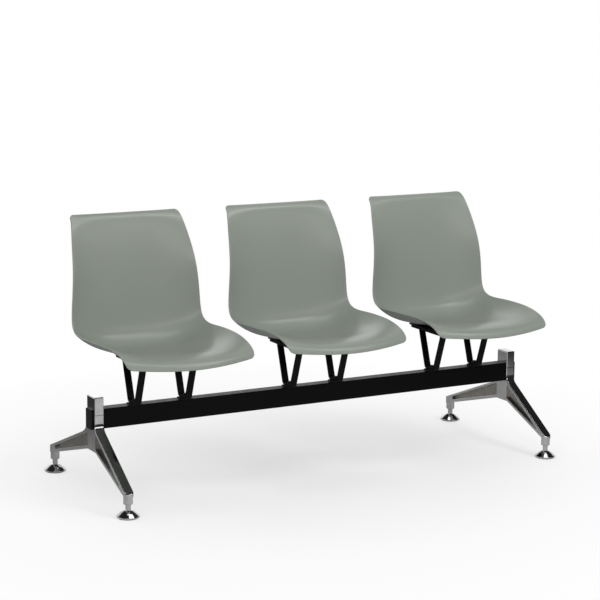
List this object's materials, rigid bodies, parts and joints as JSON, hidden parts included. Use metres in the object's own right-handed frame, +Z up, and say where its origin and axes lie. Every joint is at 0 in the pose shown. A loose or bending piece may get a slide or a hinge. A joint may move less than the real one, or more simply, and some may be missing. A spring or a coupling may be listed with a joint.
{
  "type": "beam seating",
  "caption": "Row of moulded one-piece seat shells on V-shaped straps along a black rectangular beam, carried by chromed two-arm legs with screw levelling glides.",
  "frame": {"origin": "on the floor in the middle of the four glides", "axes": "+X along the beam to the right as seen from the front, -Y towards the front edge of the seats, +Z up"},
  "size_m": [1.536, 0.621, 0.811],
  "materials": {
    "grey_green_plastic": "satin moulded polypropylene",
    "black_steel": "black semi-gloss powder coat",
    "chrome": "polished",
    "zinc_steel": "zinc plated",
    "black_bolt": "black oxide",
    "brass": "machined",
    "black_plastic": "moulded",
    "rubber_pad": "matt"
  },
  "bodies": {
    "root": {"beam": "black_steel", "left_leg": "chrome", "left_clamp_cap": "chrome", "left_clamp_bolt": "zinc_steel", "left_crush_sleeve": "zinc_steel", "left_beam_plug": "black_plastic", "right_leg": "chrome", "right_clamp_cap": "chrome", "right_clamp_bolt": "zinc_steel", "right_crush_sleeve": "zinc_steel", "right_beam_plug": "black_plastic", "seat_1_shell": "grey_green_plastic", "seat_1_v_strap_left": "black_steel", "seat_1_v_strap_right": "black_steel", "seat_1_rail_left": "black_steel", "seat_1_rail_right": "black_steel", "seat_1_plate": "black_steel", "seat_1_beam_pads": "black_plastic", "seat_1_foot_bolts": "black_bolt", "seat_1_foot_nuts": "zinc_steel", "seat_1_shell_screws": "black_bolt", "seat_1_shell_inserts": "brass", "seat_2_shell": "grey_green_plastic", "seat_2_v_strap_left": "black_steel", "seat_2_v_strap_right": "black_steel", "seat_2_rail_left": "black_steel", "seat_2_rail_right": "black_steel", "seat_2_plate": "black_steel", "seat_2_beam_pads": "black_plastic", "seat_2_foot_bolts": "black_bolt", "seat_2_foot_nuts": "zinc_steel", "seat_2_shell_screws": "black_bolt", "seat_2_shell_inserts": "brass", "seat_3_shell": "grey_green_plastic", "seat_3_v_strap_left": "black_steel", "seat_3_v_strap_right": "black_steel", "seat_3_rail_left": "black_steel", "seat_3_rail_right": "black_steel", "seat_3_plate": "black_steel", "seat_3_beam_pads": "black_plastic", "seat_3_foot_bolts": "black_bolt", "seat_3_foot_nuts": "zinc_steel", "seat_3_shell_screws": "black_bolt", "seat_3_shell_inserts": "brass"},
    "left_front_glide": {"left_front_glide_base": "chrome", "left_front_glide_pad": "rubber_pad"},
    "left_front_stem": {"left_front_glide_stem": "chrome"},
    "left_rear_glide": {"left_rear_glide_base": "chrome", "left_rear_glide_pad": "rubber_pad"},
    "left_rear_stem": {"left_rear_glide_stem": "chrome"},
    "right_front_glide": {"right_front_glide_base": "chrome", "right_front_glide_pad": "rubber_pad"},
    "right_front_stem": {"right_front_glide_stem": "chrome"},
    "right_rear_glide": {"right_rear_glide_base": "chrome", "right_rear_glide_pad": "rubber_pad"},
    "right_rear_stem": {"right_rear_glide_stem": "chrome"}
  },
  "joints": [
    {"name": "left_front_glide_height", "type": "slide", "parent": "root", "child": "left_front_glide", "axis": [0, 0, -1], "range_m": [-0.01, 0.01]},
    {"name": "left_front_stem_turn", "type": "hinge", "parent": "left_front_glide", "child": "left_front_stem", "pos_m": [-0.735, -0.2775, 0.03], "axis": [0, 0, -1], "range_deg": [-2400, 2400]},
    {"name": "left_rear_glide_height", "type": "slide", "parent": "root", "child": "left_rear_glide", "axis": [0, 0, -1], "range_m": [-0.01, 0.01]},
    {"name": "left_rear_stem_turn", "type": "hinge", "parent": "left_rear_glide", "child": "left_rear_stem", "pos_m": [-0.735, 0.2775, 0.03], "axis": [0, 0, -1], "range_deg": [-2400, 2400]},
    {"name": "right_front_glide_height", "type": "slide", "parent": "root", "child": "right_front_glide", "axis": [0, 0, -1], "range_m": [-0.01, 0.01]},
    {"name": "right_front_stem_turn", "type": "hinge", "parent": "right_front_glide", "child": "right_front_stem", "pos_m": [0.735, -0.2775, 0.03], "axis": [0, 0, -1], "range_deg": [-2400, 2400]},
    {"name": "right_rear_glide_height", "type": "slide", "parent": "root", "child": "right_rear_glide", "axis": [0, 0, -1], "range_m": [-0.01, 0.01]},
    {"name": "right_rear_stem_turn", "type": "hinge", "parent": "right_rear_glide", "child": "right_rear_stem", "pos_m": [0.735, 0.2775, 0.03], "axis": [0, 0, -1], "range_deg": [-2400, 2400]}
  ],
  "couplings": [
    {"joint": "left_front_stem_turn", "follows": "left_front_glide_height", "rad_per_m": 4188.8},
    {"joint": "left_rear_stem_turn", "follows": "left_rear_glide_height", "rad_per_m": 4188.8},
    {"joint": "right_front_stem_turn", "follows": "right_front_glide_height", "rad_per_m": 4188.8},
    {"joint": "right_rear_stem_turn", "follows": "right_rear_glide_height", "rad_per_m": 4188.8}
  ]
}
